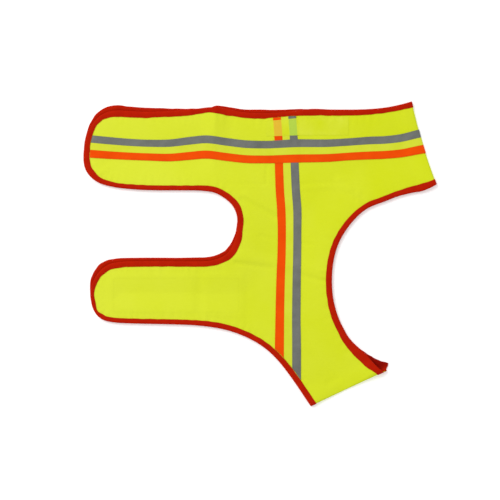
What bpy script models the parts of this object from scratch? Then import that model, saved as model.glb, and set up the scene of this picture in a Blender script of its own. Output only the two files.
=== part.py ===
"""Reflective dog vest, folded double on its centre seams and laid flat, with the head end to the right.

The two halves are the same cut. The near half lies on the far half, and they are sewn together at the
back seam and the chest seam, where the cloth rolls over from one half to the other. Tape binds every
cut edge. A ribbon of three stripes runs along the girth, and another runs down from it and under it.

Sizes are in millimetres and become metres where a mesh is made. The origin is under the middle of the
folded vest, with +X towards the head, +Y towards the back hem and +Z up.
"""

import math

import bpy
import numpy as np
from mathutils import Vector
from mathutils.geometry import delaunay_2d_cdt

MM = 0.001

# Middle of the folded vest's box in the plan that the tables below use
ORIGIN = (0.6, -0.8, 0.0)

# Colours of the red tape, the yellow cloth and the hook tape
RED = (0.55, 0.02, 0.01)
YELLOW = (0.68, 0.78, 0.02)
HOOK_YELLOW = (0.6, 0.66, 0.1)

# Thickness of the cloth and of the tape, and the space between pieces that touch, wider under a strip
# that lies on the faceted cloth
CLOTH = 1.0
TAPE = 1.0
GAP = 0.3
STRIP_GAP = 0.4
STEP_UP = TAPE + GAP
STRIP_UP = TAPE + STRIP_GAP

# The binding is folded over the cut edge: how far it reaches in, and where the cloth inside it starts
BINDING_WIDTH = 7.6
BINDING_BOW = 0.5
BOW_SLOPE = 0.6
CLOTH_INSET = 1.8
CLOTH_ROW = 8.2
BINDING_HALF = CLOTH / 2 + GAP + TAPE

# Heights of the middle of the cloth, flat and where its edge is bound
FAR_FLAT = CLOTH / 2
FAR_BOUND = BINDING_HALF
NEAR_FLAT = FAR_FLAT + CLOTH + 2 * GAP
NEAR_BOUND = FAR_BOUND + 2 * BINDING_HALF + GAP
FOLD_RISE = 1.5
HOOK_RISE = 1.2

# Distances over which those heights change: from a bound edge, and from a seam
BOUND_LEVEL = 8.5
FAR_SLOPE_END = 18.0
NEAR_SLOPE_END = 38.0
SEAM_LEVEL = 7.0
SEAM_SLOPE_END = 30.0

# The cut edge from the back seam round both arms to the chest seam, for the near half's bound edge.
# Heading is the way the edge runs, in degrees. Peek is how far the far half lies beyond the near half.
HEM = (
    # x, y, heading, peek
    (212.5, 212.4, 198, 0.0),
    (200.0, 208.7, 193, 0.0),
    (176.5, 204.0, 188, 0.0),
    (126.0, 201.0, 180, 0.2),
    (100.0, 201.1, 179, 0.2),
    (70.0, 201.8, 184, 0.2),
    (42.0, 198.5, 186, 3.2),
    (3.0, 196.0, 179, 5.4),
    (-33.5, 199.0, 167, 4.0),
    (-59.0, 204.2, 171, 3.8),
    (-71.0, 204.5, 182, 0.0),
    (-84.0, 203.0, 187, 0.0),
    (-98.0, 201.3, 187, 1.4),
    (-120.0, 199.3, 184, 3.2),
    (-161.0, 198.0, 179, 6.0),
    (-185.0, 199.3, 178, 6.4),
    (-198.5, 200.0, 181, 7.6),
    (-210.0, 198.6, 194, 7.6),
    (-225.5, 191.0, 222, 6.0),
    (-233.0, 183.0, 236, 4.0),
    (-242.5, 164.0, 254, 1.5),
    (-247.0, 135.0, 270, 0.0),
    (-241.2, 112.1, 306, 0.0),
    (-219.5, 96.5, 343, 0.0),
    (-175.0, 89.8, 356, 0.0),
    (-98.0, 88.3, 359.5, 0.0),
    (-68.5, 86.3, 350, 0.0),
    (-47.5, 76.0, 323, 0.0),
    (-38.5, 66.5, 305, 0.0),
    (-32.6, 48.0, 272, 0.0),
    (-33.3, 33.0, 264, 0.8),
    (-35.3, 18.5, 249, 2.9),
    (-44.5, 1.0, 228, 4.7),
    (-52.5, -5.0, 208, 5.4),
    (-84.0, -11.5, 180, 5.3),
    (-120.0, -11.4, 179.5, 4.7),
    (-184.5, -11.5, 181, 4.7),
    (-211.5, -15.5, 208, 6.4),
    (-220.0, -21.5, 223, 7.4),
    (-230.0, -33.5, 238, 5.2),
    (-237.0, -57.0, 270, 0.7),
    (-231.3, -82.4, 300, 0.2),
    (-216.0, -94.7, 345, 0.0),
    (-182.0, -98.0, 358, 0.0),
    (-105.0, -100.5, 357, 0.0),
    (-63.0, -104.1, 351, 0.0),
    (-21.0, -116.5, 336, 0.0),
    (14.0, -138.5, 318, 0.0),
    (42.0, -171.0, 306, 0.0),
    (71.0, -213.3, 304, 0.0),
)

# Half of the neck hole, from the chest seam to the back seam
NECK = (
    # x, y, heading, peek
    (172.5, -166.5, 142, 9.0),
    (160.5, -155.5, 137, 8.5),
    (148.5, -142.0, 135, 1.8),
    (139.8, -134.7, 138, 0.6),
    (125.0, -120.3, 129, 0.6),
    (110.0, -93.5, 111, 0.6),
    (100.4, -41.5, 91, 0.0),
    (106.5, 4.5, 73, 0.0),
    (125.0, 39.0, 52, 0.0),
    (146.5, 60.5, 36, 0.0),
    (178.0, 74.2, 22, 0.0),
    (213.0, 84.6, 12, 0.0),
    (228.0, 88.0, 17, 0.0),
    (247.3, 96.4, 30, 0.0),
)

# Ribbon: its stripes from the silver one to the orange one, and the middle line of its two lengths
STRIPES = (
    # name, width, colour, roughness, metallic
    ("silver", 10.7, (0.18, 0.19, 0.2), 0.4, 0.3),
    ("yellow", 10.4, YELLOW, 0.8, 0.0),
    ("orange", 10.9, (0.95, 0.08, 0.01), 0.8, 0.0),
)
GIRTH_LINE = (
    # x, y
    (-240.5, 149.8),
    (-210.0, 147.4),
    (-154.0, 144.4),
    (-126.0, 144.2),
    (-98.0, 147.0),
    (-77.0, 148.8),
    (-48.0, 145.6),
    (-21.0, 142.5),
    (7.0, 141.8),
    (50.0, 143.4),
    (98.0, 144.0),
    (126.0, 145.8),
    (154.0, 147.5),
    (175.0, 148.3),
    (196.0, 150.5),
    (228.5, 157.5),
)
DOWN_LINE = (
    # y, x
    (-190.0, 39.2),
    (-121.5, 39.3),
    (-65.5, 39.8),
    (4.5, 41.4),
    (32.5, 41.6),
    (60.5, 41.2),
    (88.5, 39.2),
    (116.5, 38.0),
    (162.5, 36.6),
    (198.0, 33.8),
)
# The girth ribbon rises over the down ribbon in this distance, and its even stations keep clear of its
# ends by these
RIBBON_RISE = 9.0
TIP_CLEAR = 14.0
SEAM_CLEAR = 36.0

# Cover strip over the top of the down ribbon, and the hook strip inside the lower arm
COVER_LEFT = 9.0
COVER_COLUMNS = (66.0, 85.0, 104.0, 124.0)
COVER_BOTTOM = 165.0
HOOK_LEFT, HOOK_RIGHT = -207.0, -28.0
HOOK_BOTTOM, HOOK_TOP = -84.5, -33.0
HOOK_COLUMNS, HOOK_ROWS = 12, 5
HOOK_SLOPE = 12.0
HOOK_EDGE_CLEAR = 22.0

# Raised folds of the near half: both ends, half width, and the height at each end
FOLDS = (
    # x0, y0, x1, y1, half width, height at start, height at end
    (-59.5, 214.5, -63.0, 100.0, 22.0, 5.0, 0.6),
    (-33.5, -11.0, 92.5, -33.0, 15.0, 1.6, 0.8),
    (-21.0, 70.5, 21.0, 49.5, 13.0, 1.3, 0.6),
    (112.0, 102.5, 136.0, 84.5, 13.0, 1.3, 0.8),
    (177.0, -168.0, 148.5, -144.0, 40.0, 6.0, 2.0),
)

# The rolled edge at a seam is drawn at these angles, and the back seam bows in by this much
ROLL_ANGLES = (20.0, 52.0, 90.0)
BACK_SEAM_BOW = 2.0
BOW_SPREAD = 60.0

# How finely the meshes follow the curves
CHORD_RISE = 0.3
SHORTEST_STEP = 5.5
NEAR_STEP = 16.0
FAR_STEP = 28.0
END_BLEND = 30.0
END_STRAIGHT = 6.0
CORNER_POINTS = 40
NORMAL_STEP = 0.5
COUNT_STEP = 0.5
FOLD_MARGIN = 3.0
SEAM_END_CLEAR = 2 * CLOTH_ROW
MARGIN_SHARE = 1 / 3
ROW_SHARE = 0.9


def ramp(start, end, value):
    """0 before start, 1 after end, and a smooth rise between."""
    t = np.clip((np.asarray(value, float) - start) / (end - start), 0, 1)
    return t * t * (3 - 2 * t)


def unit(angle):
    """Direction at an angle in degrees."""
    return np.array((math.cos(math.radians(angle)), math.sin(math.radians(angle))))


def through(knots):
    """Function of the first column that passes smoothly through the second."""
    table = np.array(knots)
    at, value = table[:, 0], table[:, 1]
    slope = np.gradient(value, at)

    def follow(t):
        t = np.asarray(t, float)
        i = np.clip(np.searchsorted(at, t) - 1, 0, len(at) - 2)
        span = at[i + 1] - at[i]
        u = (t - at[i]) / span
        rise = (2 * u**3 - 3 * u**2 + 1) * value[i] + (3 * u**2 - 2 * u**3) * value[i + 1]
        return rise + span * ((u**3 - 2 * u**2 + u) * slope[i] + (u**3 - u**2) * slope[i + 1])

    return follow


class Seam:
    """A straight line on which the two halves are sewn together. The cloth lies to its left."""

    def __init__(self, start, end, bow):
        self.start = np.array(start, float)
        self.along = np.array(end, float) - self.start
        self.length = np.linalg.norm(self.along)
        self.along /= self.length
        self.inward = np.array((-self.along[1], self.along[0]))
        self.bow = bow

    def place(self, xy):
        """Distance along the seam and distance in from it."""
        offset = np.asarray(xy) - self.start
        return offset @ self.along, offset @ self.inward

    def point(self, along, inward):
        return self.start + self.along * along + self.inward * inward


class Edge:
    """A cut edge as a dense line of points, with the way into the cloth at each."""

    def __init__(self, rows, start_inward, end_inward):
        points, peeks = [], []
        for a, b in zip(rows, rows[1:]):
            p, q = np.array(a[:2]), np.array(b[:2])
            turn = math.radians((b[2] - a[2] + 180) % 360 - 180)
            chord = np.linalg.norm(q - p)
            pull = chord / math.cos(turn / 4) ** 2
            t = np.linspace(0, 1, max(2, round(chord)), endpoint=False)[:, None]
            points.append(
                (2 * t**3 - 3 * t**2 + 1) * p
                + (3 * t**2 - 2 * t**3) * q
                + (t**3 - 2 * t**2 + t) * pull * unit(a[2])
                + (t**3 - t**2) * pull * unit(b[2])
            )
            peeks.append(a[3] + (b[3] - a[3]) * ramp(0, 1, t[:, 0]))
        self.points = np.vstack(points + [np.array([rows[-1][:2]])])
        self.peek = np.append(np.concatenate(peeks), rows[-1][3])
        self.s = np.append(0, np.cumsum(np.linalg.norm(np.diff(self.points, axis=0), axis=1)))
        self.length = self.s[-1]
        tangent = np.gradient(self.points, self.s, axis=0)
        tangent /= np.linalg.norm(tangent, axis=1)[:, None]
        heading = np.unwrap(np.arctan2(tangent[:, 1], tangent[:, 0]))
        self.bend = np.abs(np.gradient(heading, self.s))
        inward = np.column_stack((-tangent[:, 1], tangent[:, 0]))
        for way, from_end in ((start_inward, self.s), (end_inward, self.length - self.s)):
            share = 1 - ramp(END_STRAIGHT, END_BLEND, from_end)[:, None]
            inward = inward * (1 - share) + way * share
        self.inward = inward / np.linalg.norm(inward, axis=1)[:, None]

    def at(self, s, inset, half):
        """Plan points at distances s along the near edge, this far inside the edge of a half."""
        peek = np.interp(s, self.s, self.peek) if half == "far" else 0
        depth = (np.broadcast_to(inset, np.shape(s)) - peek)[:, None]
        way = np.column_stack([np.interp(s, self.s, self.inward[:, k]) for k in (0, 1)])
        return np.column_stack([np.interp(s, self.s, self.points[:, k]) for k in (0, 1)]) + way * depth

    def crossings(self, miss):
        """Distances along the edge where the cloth's second row meets a line, given as miss(points)."""
        value = miss(self.at(self.s, CLOTH_ROW, "near"))
        found = np.nonzero(np.sign(value[:-1]) != np.sign(value[1:]))[0]
        share = value[found] / (value[found] - value[found + 1])
        return self.s[found] + share * (self.s[found + 1] - self.s[found])


BACK_SEAM = Seam(NECK[-1][:2], HEM[0][:2], BACK_SEAM_BOW)
CHEST_SEAM = Seam(HEM[-1][:2], NECK[0][:2], 0.0)
SEAMS = (BACK_SEAM, CHEST_SEAM)
HEM_EDGE = Edge(HEM, -BACK_SEAM.along, CHEST_SEAM.along)
NECK_EDGE = Edge(NECK, -CHEST_SEAM.along, BACK_SEAM.along)
EDGES = (HEM_EDGE, NECK_EDGE)
OUTLINES = {half: np.vstack([e.at(e.s[::2], 0.0, half) for e in EDGES]) for half in ("near", "far")}


def edge_distance(half, xy):
    """Distance from plan points to the nearest cut edge of a half."""
    outline = OUTLINES[half]
    return np.array([math.sqrt(((outline - p) ** 2).sum(axis=1).min()) for p in xy])


def fold_height(xy):
    """Height of the raised folds of the near half."""
    total = np.zeros(len(xy))
    for x0, y0, x1, y1, half_width, start_height, end_height in FOLDS:
        start, run = np.array((x0, y0)), np.array((x1 - x0, y1 - y0))
        t = np.clip((xy - start) @ run / (run @ run), 0, 1)
        away = np.linalg.norm(xy - start - t[:, None] * run, axis=1) / half_width
        height = start_height + (end_height - start_height) * t
        total += height * np.cos(np.clip(away, 0, 1) * math.pi / 2) ** 2
    return total


def level(half, xy):
    """Height of the middle of the cloth, without the roll at the seams, near which it stays even."""
    xy = np.array(xy, float)
    for seam in SEAMS:
        xy += seam.inward * np.clip(SEAM_LEVEL - seam.place(xy)[1], 0, None)[:, None]
    edge = edge_distance(half, xy)
    if half == "far":
        return FAR_FLAT + (FAR_BOUND - FAR_FLAT) * (1 - ramp(BOUND_LEVEL, FAR_SLOPE_END, edge))
    height = NEAR_FLAT + (NEAR_BOUND - NEAR_FLAT) * (1 - ramp(BOUND_LEVEL, NEAR_SLOPE_END, edge))
    for seam in SEAMS:
        height += FOLD_RISE * (1 - ramp(SEAM_LEVEL, SEAM_SLOPE_END, seam.place(xy)[1]))
    over_hook = ramp(HOOK_LEFT - HOOK_SLOPE, HOOK_LEFT, xy[:, 0])
    over_hook *= 1 - ramp(HOOK_RIGHT, HOOK_RIGHT + HOOK_SLOPE, xy[:, 0])
    over_hook *= ramp(HOOK_BOTTOM - HOOK_SLOPE, HOOK_BOTTOM, xy[:, 1])
    over_hook *= 1 - ramp(HOOK_TOP, HOOK_TOP + HOOK_SLOPE, xy[:, 1])
    over_hook *= ramp(BOUND_LEVEL, HOOK_EDGE_CLEAR, edge)
    return height + HOOK_RISE * over_hook + fold_height(xy)


def roll_radius(seam, along):
    """Radius of the rolled edge at distances along a seam."""
    inside = np.array([seam.point(a, SEAM_LEVEL) for a in np.atleast_1d(along)])
    return (level("near", inside) - level("far", inside)) / 2


def lay(half, xy, offset=0.0):
    """Points in space over plan points, moved out from the middle of the cloth by an offset."""
    xy = np.array(xy, float)
    height = level(half, xy)
    slope = []
    for way in np.eye(2) * NORMAL_STEP:
        slope.append((level(half, xy + way) - level(half, xy - way)) / (2 * NORMAL_STEP))
    normal = np.column_stack((-slope[0], -slope[1], np.ones(len(xy))))
    normal /= np.linalg.norm(normal, axis=1)[:, None]
    for seam in SEAMS:
        along, inward = seam.place(xy)
        for i in np.nonzero(inward < SEAM_LEVEL)[0]:
            radius = roll_radius(seam, along[i])[0]
            if inward[i] >= radius:
                continue
            cosine = min(1.0, (radius - inward[i]) / radius)
            sine = math.sqrt(1 - cosine * cosine)
            side = 1 if half == "near" else -1
            height[i] += side * radius * (sine - 1)
            normal[i] = (*(-side * cosine * seam.inward), sine)
    points = np.column_stack((xy, height)) + normal * np.reshape(offset, (-1, 1))
    for seam in SEAMS:
        along, inward = seam.place(xy)
        share = np.clip(along / seam.length, 0, 1)
        shift = seam.bow * 4 * share * (1 - share) * (1 - ramp(0, BOW_SPREAD, inward))
        points[:, :2] += seam.inward * shift[:, None]
    return points


def local_step(xy, longest):
    """Mesh step that follows the tall fold of the near half."""
    x0, y0, x1, y1, half_width = FOLDS[0][:5]
    near_fold = (np.abs(xy[:, 0] - (x0 + x1) / 2) < half_width + FOLD_MARGIN) & (xy[:, 1] > y1)
    return np.where(near_fold & (longest == NEAR_STEP), SHORTEST_STEP, longest)


def spread(fixed, total, positions):
    """Values of positions so that each fixed one is kept and the rest divide total evenly."""
    found = [fixed[0]]
    for a, b in zip(fixed, fixed[1:]):
        low, high = np.interp((a, b), positions, total)
        parts = max(1, round(high - low))
        found += list(np.interp(np.linspace(low, high, parts + 1)[1:-1], total, positions)) + [b]
    return np.array(found)


def edge_stations(edge, seams, fixed, longest):
    """Distances along an edge: the rolls at both ends, the fixed ones and even steps between them."""
    step = np.sqrt(8 * CHORD_RISE / np.maximum(edge.bend, 1e-6))
    step = np.clip(step, SHORTEST_STEP, local_step(edge.points, longest))
    total = np.append(0, np.cumsum(np.diff(edge.s) / ((step[1:] + step[:-1]) / 2)))
    start, end = [], []
    for seam, rolls, from_end in (
        (seams[0], start, edge.s),
        (seams[1], end, edge.length - edge.s),
    ):
        along, inward = seam.place(edge.points)
        corner = 0 if from_end is edge.s else -1
        radius = roll_radius(seam, along[corner])[0]
        order = np.argsort(from_end)[:CORNER_POINTS]
        for angle in ROLL_ANGLES:
            depth = radius * (1 - math.cos(math.radians(angle)))
            rolls.append(float(np.interp(depth, inward[order], edge.s[order])))
    between = spread(start[-1:] + sorted(fixed) + end[-1:], total, edge.s)
    return np.concatenate((start[:-1], between, end[-2::-1]))


def seam_rows(seam, fixed, longest):
    """Plan points of the rolled edge along a seam, one row for each angle of the roll."""
    ends = [SEAM_END_CLEAR] + sorted(fixed) + [seam.length - SEAM_END_CLEAR]
    along = [ends[0]]
    for a, b in zip(ends, ends[1:]):
        parts = max(1, round((b - a) / longest))
        along += list(np.linspace(a, b, parts + 1)[1:])
    rows = []
    for angle in ROLL_ANGLES:
        depth = roll_radius(seam, along) * (1 - math.cos(math.radians(angle)))
        rows.append(np.array([seam.point(a, d) for a, d in zip(along, depth)]))
    return rows


# Ribbon lines: three stripes lie between four lines, and the two lengths cross
girth_y = through(GIRTH_LINE)
down_x = through(DOWN_LINE)
WIDTHS = [stripe[1] for stripe in STRIPES]
RIBBON = sum(WIDTHS)
GIRTH_OFFSETS = [RIBBON / 2 - sum(WIDTHS[:i]) for i in range(4)]
DOWN_OFFSETS = [sum(WIDTHS[::-1][:i]) - RIBBON / 2 for i in range(4)]


def crossing_point(girth_offset, down_offset):
    """Plan point where a line of the girth ribbon crosses a line of the down ribbon."""
    x, y = 0.0, 0.0
    for _ in range(8):
        y = float(girth_y(x)) + girth_offset
        x = float(down_x(y)) + down_offset
    return np.array((x, y))


CROSSINGS = [[crossing_point(g, d) for d in DOWN_OFFSETS] for g in GIRTH_OFFSETS]


def girth_lines():
    """Plan points of the four lines of the girth ribbon, and its height above the cloth at each."""
    first, last = CROSSINGS[0][0][0], CROSSINGS[0][-1][0]
    left, right = OUTLINES["near"][:, 0].min() + TIP_CLEAR, BACK_SEAM.start[0] - SEAM_CLEAR
    plain = np.arange(left, right, COUNT_STEP)
    sites = np.column_stack((plain, girth_y(plain)))
    total = np.cumsum(COUNT_STEP / local_step(sites, NEAR_STEP))
    before = spread([left, first - RIBBON_RISE], total, plain)
    after = spread([last + RIBBON_RISE, right], total, plain)
    lines = []
    for offset, crossed in zip(GIRTH_OFFSETS, CROSSINGS):
        meets = HEM_EDGE.crossings(lambda p: p[:, 1] - girth_y(p[:, 0]) - offset)
        start = HEM_EDGE.at(meets, CLOTH_ROW, "near")[-1]
        xs = np.concatenate((before, [p[0] for p in crossed], after))
        line = np.column_stack((xs, girth_y(xs) + offset))
        lines.append(np.vstack((start, line, seam_end(offset))))
    count = len(before) + 1
    lift = [STRIP_UP] * count + [2 * STRIP_UP] * 4 + [STRIP_UP] * (len(after) + len(ROLL_ANGLES))
    return lines, np.array(lift)


def seam_along(offset):
    """Distance along the back seam at which a line of the girth ribbon meets it."""
    x = np.arange(BACK_SEAM.start[0] - SEAM_CLEAR, BACK_SEAM.start[0], COUNT_STEP)
    along, inward = BACK_SEAM.place(np.column_stack((x, girth_y(x) + offset)))
    return float(np.interp(0.0, inward[::-1], along[::-1]))


def seam_end(offset):
    """The last points of a girth line, over the rolled edge of the back seam."""
    along = seam_along(offset)
    radius = roll_radius(BACK_SEAM, along)[0]
    depths = [radius * (1 - math.cos(math.radians(angle))) for angle in ROLL_ANGLES]
    return np.array([BACK_SEAM.point(along, depth) for depth in depths[::-1]])


def down_lines():
    """Plan points of the four lines of the down ribbon, from the back hem to the tail edge."""
    lines = []
    for column, offset in enumerate(DOWN_OFFSETS):
        meets = HEM_EDGE.crossings(lambda p: p[:, 0] - down_x(p[:, 1]) - offset)
        top, bottom = HEM_EDGE.at(meets, CLOTH_ROW, "near")[[0, -1]]
        crossed = [row[column] for row in CROSSINGS]
        below = CROSSINGS[-1][0][1] - RIBBON_RISE
        count = round((below - bottom[1]) / NEAR_STEP)
        ys = [(top[1] + COVER_BOTTOM) / 2, COVER_BOTTOM] + [p[1] for p in crossed]
        ys += list(np.linspace(below, bottom[1], count + 1)[:-1])
        line = np.column_stack((down_x(ys) + offset, ys))
        lines.append(np.vstack((top, line, bottom)))
    shortest = min(len(line) for line in lines)
    return [np.vstack((line[: shortest - 1], line[-1:])) for line in lines]


def cover_grid():
    """Plan points of the cover strip, a column for each edge of the ribbon under it and more beyond."""
    columns = [line[:3] for line in DOWN]
    for x in (COVER_LEFT, *COVER_COLUMNS):
        top = HEM_EDGE.at(HEM_EDGE.crossings(lambda p: p[:, 0] - x), CLOTH_ROW, "near")[0]
        columns.append(np.array((top, (x, (top[1] + COVER_BOTTOM) / 2), (x, COVER_BOTTOM))))
    columns.sort(key=lambda column: column[0, 0])
    lift = [STRIP_UP] + [2 * STRIP_UP] * len(DOWN) + [STRIP_UP] * len(COVER_COLUMNS)
    return columns, np.array(lift)


GIRTH, GIRTH_LIFT = girth_lines()
DOWN = down_lines()
COVER, COVER_LIFT = cover_grid()
HOOK = [
    np.column_stack((np.linspace(HOOK_LEFT, HOOK_RIGHT, HOOK_COLUMNS + 1), np.full(HOOK_COLUMNS + 1, y)))
    for y in np.linspace(HOOK_TOP, HOOK_BOTTOM, HOOK_ROWS)
]


def piece(name, points, faces, thickness, colour, roughness, metallic=0.0):
    """Object of one open surface in millimetres, thickened evenly to both sides."""
    mesh = bpy.data.meshes.new(name)
    mesh.from_pydata([(Vector(p) - Vector(ORIGIN)) * MM for p in points], [], faces)
    mesh.validate()
    mesh.update()
    made = bpy.data.objects.new(name, mesh)
    VEST.objects.link(made)
    wall = made.modifiers.new("wall", "SOLIDIFY")
    wall.thickness = thickness * MM
    wall.offset = 0.0
    wall.use_even_offset = True
    wall.use_quality_normals = True
    finish = bpy.data.materials.new(name)
    finish.use_nodes = True
    shader = finish.node_tree.nodes["Principled BSDF"]
    shader.inputs["Base Color"].default_value = (*colour, 1.0)
    shader.inputs["Roughness"].default_value = roughness
    shader.inputs["Metallic"].default_value = metallic
    mesh.materials.append(finish)
    return made


def strip(name, rows, lift, inset, *finish):
    """Strip that lies on the near half, from rows of plan points that all have the same count."""
    rows = [np.array(row) for row in rows]
    if inset:
        across = rows[-1] - rows[0]
        across /= np.linalg.norm(across, axis=1)[:, None]
        rows[0] = rows[0] + across * inset
        rows[-1] = rows[-1] - across * inset
    count = len(rows[0])
    points = np.vstack([lay("near", row, lift) for row in rows])
    faces = [
        (j * count + i, j * count + i + 1, (j + 1) * count + i + 1, (j + 1) * count + i)
        for j in range(len(rows) - 1)
        for i in range(count - 1)
    ]
    return piece(name, points, faces, TAPE, *finish)


def binding(name, edge, stations, half):
    """Tape folded over a cut edge: an open section carried along the edge."""
    reach = BINDING_WIDTH - TAPE / 2
    section = (
        # in from the edge, out from the cloth
        (reach, STEP_UP),
        (BINDING_BOW + BOW_SLOPE, STEP_UP),
        (BINDING_BOW, 0.0),
        (BINDING_BOW + BOW_SLOPE, -STEP_UP),
        (reach, -STEP_UP),
    )
    rings = [lay(half, edge.at(stations, inset, half), out) for inset, out in section]
    points = np.stack(rings, axis=1).reshape(-1, 3)
    count = len(section)
    faces = [
        (i * count + j, i * count + j + 1, (i + 1) * count + j + 1, (i + 1) * count + j)
        for i in range(len(stations) - 1)
        for j in range(count - 1)
    ]
    return piece(name, points, faces, TAPE, RED, 0.7)


def point_inside(point, outline):
    """Whether a plan point is inside a closed outline."""
    x, y = point
    a, b = outline, np.roll(outline, -1, axis=0)
    spans = (a[:, 1] > y) != (b[:, 1] > y)
    a, b = a[spans], b[spans]
    meets = (b[:, 0] - a[:, 0]) * (y - a[:, 1]) / (b[:, 1] - a[:, 1]) + a[:, 0]
    return bool((meets > x).sum() % 2)


def inner_points(half):
    """Plan points that fill a half between its edges, clear of what is placed on it."""
    step = NEAR_STEP if half == "near" else FAR_STEP
    found = []
    low, high = OUTLINES[half].min(axis=0), OUTLINES[half].max(axis=0)
    for k, y in enumerate(np.arange(low[1], high[1], step * ROW_SHARE)):
        x = low[0] + step * (k % 2) / 2
        while x < high[0]:
            found.append((x, y))
            x += float(local_step(np.array([(x, y)]), step)[0])
    found = np.array(found)
    margin = step * MARGIN_SHARE
    keep = edge_distance(half, found) > CLOTH_ROW + margin
    keep &= np.array([point_inside(p, OUTLINES[half]) for p in found])
    for seam in SEAMS:
        keep &= seam.place(found)[1] > SEAM_LEVEL + margin
    if half == "near":
        x, y = found[:, 0], found[:, 1]
        keep &= np.abs(y - girth_y(x)) > RIBBON / 2 + margin
        keep &= np.abs(x - down_x(y)) > RIBBON / 2 + margin
        for left, right, bottom, top in (
            (COVER_LEFT, COVER_COLUMNS[-1], COVER_BOTTOM, high[1]),
            (HOOK_LEFT, HOOK_RIGHT, HOOK_BOTTOM, HOOK_TOP),
        ):
            beside = (x > left - margin) & (x < right + margin)
            keep &= ~(beside & (y > bottom - margin) & (y < top + margin))
    return found[keep]


def half_vest(half, stations, seam_marks, placed_lines):
    """One half: rows along its cut edges and seams, the lines of what lies on it, and points between."""
    points, lines = [], []

    def add(row):
        first = len(points)
        points.extend(tuple(p) for p in row)
        return list(range(first, len(points)))

    step = NEAR_STEP if half == "near" else FAR_STEP
    outer = [add(e.at(s, CLOTH_INSET, half)) for e, s in zip(EDGES, stations)]
    second = [add(e.at(s, CLOTH_ROW, half)) for e, s in zip(EDGES, stations)]
    chest = [add(row) for row in seam_rows(CHEST_SEAM, [], step)]
    back = [add(row) for row in seam_rows(BACK_SEAM, seam_marks, step)]
    loop = outer[0] + second[0][-1:] + chest[0] + second[1][:1]
    loop += outer[1] + second[1][-1:] + back[0] + second[0][:1]
    for k in (1, 2):
        lines.append([second[0][-1 - k]] + chest[k] + [second[1][k]])
        lines.append([second[1][-1 - k]] + back[k] + [second[0][k]])
    lines += second
    for row, next_row in zip(outer, second):
        lines += [[row[k], next_row[k]] for k in (1, 2, -2, -3)]
    spot = {}
    for i, p in enumerate(points):
        spot[round(p[0], 2), round(p[1], 2)] = i
    for row in placed_lines:
        indices = []
        for p in row:
            key = (round(p[0], 2), round(p[1], 2))
            if key not in spot:
                spot[key] = len(points)
                points.append(tuple(p))
            indices.append(spot[key])
        lines.append(indices)
    add(inner_points(half))
    edges = [pair for line in lines for pair in zip(line, line[1:])]
    plan, _, faces = delaunay_2d_cdt([Vector(p) for p in points], edges, [loop], 1, 1e-4)[:3]
    return piece(f"{half}_half", lay(half, np.array([tuple(p) for p in plan])), faces, CLOTH, YELLOW, 0.85)


for old in list(bpy.data.objects):
    bpy.data.objects.remove(old, do_unlink=True)
VEST = bpy.data.collections.new("dog_vest")
bpy.context.scene.collection.children.link(VEST)

# The near half's edge has a station at each line that meets it
hem_marks = []
for offset in GIRTH_OFFSETS:
    hem_marks.append(HEM_EDGE.crossings(lambda p: p[:, 1] - girth_y(p[:, 0]) - offset)[-1])
for offset in DOWN_OFFSETS:
    hem_marks += list(HEM_EDGE.crossings(lambda p: p[:, 0] - down_x(p[:, 1]) - offset)[[0, -1]])
for x in (COVER_LEFT, *COVER_COLUMNS):
    hem_marks.append(HEM_EDGE.crossings(lambda p: p[:, 0] - x)[0])

near_stations = (
    edge_stations(HEM_EDGE, SEAMS, hem_marks, NEAR_STEP),
    edge_stations(NECK_EDGE, SEAMS[::-1], [], NEAR_STEP),
)
far_stations = (
    edge_stations(HEM_EDGE, SEAMS, [], FAR_STEP),
    edge_stations(NECK_EDGE, SEAMS[::-1], [], FAR_STEP),
)

cover_rows = [np.array([column[k] for column in COVER]) for k in (1, 2)]
on_near = GIRTH + DOWN + cover_rows + [COVER[0], *COVER[-len(COVER_COLUMNS):]] + HOOK
half_vest("near", near_stations, [seam_along(offset) for offset in GIRTH_OFFSETS], on_near)
half_vest("far", far_stations, [], [])
for half, stations in (("near", near_stations), ("far", far_stations)):
    binding(f"hem_binding_{half}", HEM_EDGE, stations[0], half)
    binding(f"neck_binding_{half}", NECK_EDGE, stations[1], half)

for k, (stripe, _, *finish) in enumerate(STRIPES):
    strip(f"girth_ribbon_{stripe}", GIRTH[k : k + 2], GIRTH_LIFT, GAP / 2, *finish)
    strip(f"down_ribbon_{stripe}", DOWN[2 - k : 4 - k], STRIP_UP, GAP / 2, *finish)
strip("cover_strip", [[column[k] for column in COVER] for k in range(3)], COVER_LIFT, 0, YELLOW, 0.85)
strip("hook_strip", HOOK, -STEP_UP, 0, HOOK_YELLOW, 0.9)
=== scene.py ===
import math

import bpy
import numpy as np
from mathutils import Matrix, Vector
from mathutils.geometry import delaunay_2d_cdt
from mathutils.kdtree import KDTree


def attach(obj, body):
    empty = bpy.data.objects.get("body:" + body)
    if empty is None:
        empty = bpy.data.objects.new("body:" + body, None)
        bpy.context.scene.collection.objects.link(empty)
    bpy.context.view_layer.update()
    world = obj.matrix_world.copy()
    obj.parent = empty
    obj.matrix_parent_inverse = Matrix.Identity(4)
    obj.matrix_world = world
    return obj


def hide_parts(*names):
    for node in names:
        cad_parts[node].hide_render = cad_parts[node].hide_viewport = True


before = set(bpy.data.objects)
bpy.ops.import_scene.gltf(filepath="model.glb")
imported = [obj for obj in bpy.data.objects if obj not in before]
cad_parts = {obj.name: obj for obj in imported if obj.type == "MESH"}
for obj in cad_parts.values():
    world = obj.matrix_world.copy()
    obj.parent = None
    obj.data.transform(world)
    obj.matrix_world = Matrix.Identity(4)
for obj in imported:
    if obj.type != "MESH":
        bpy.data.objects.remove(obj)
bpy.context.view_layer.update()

# Near half of the vest.
# One cut of light polyester in safety yellow. It lies on the far half, which is the same cut, and both
# are sewn together along the back seam and the chest seam, where the cloth rolls over. Sizes are in mm.
MM = 0.001
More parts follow.
